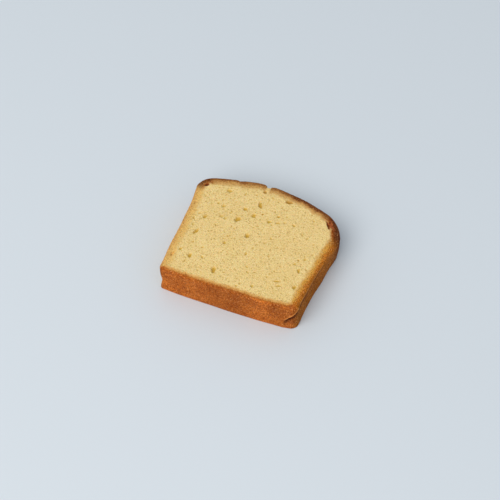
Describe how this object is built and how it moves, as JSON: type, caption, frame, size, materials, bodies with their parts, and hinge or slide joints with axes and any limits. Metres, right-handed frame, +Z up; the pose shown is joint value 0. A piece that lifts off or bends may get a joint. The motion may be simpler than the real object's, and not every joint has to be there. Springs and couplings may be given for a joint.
{
  "type": "sliced weekend cake",
  "caption": "Slice of plain loaf-baked pound cake lying on its cut face, with a browned crust round its edge, a low domed and split top, and open crumb on the cut faces.",
  "frame": {"origin": "middle of the slice's footprint on the surface it lies on", "axes": "+Z up through the slice's thickness, square to its cut faces; +Y from the loaf's bottom crust towards its domed top; +X across the loaf's width"},
  "size_m": [0.081, 0.0702, 0.0185],
  "materials": {
    "baked_cake": "matte"
  },
  "bodies": {
    "root": {"cake_slice": "baked_cake"}
  },
  "joints": []
}
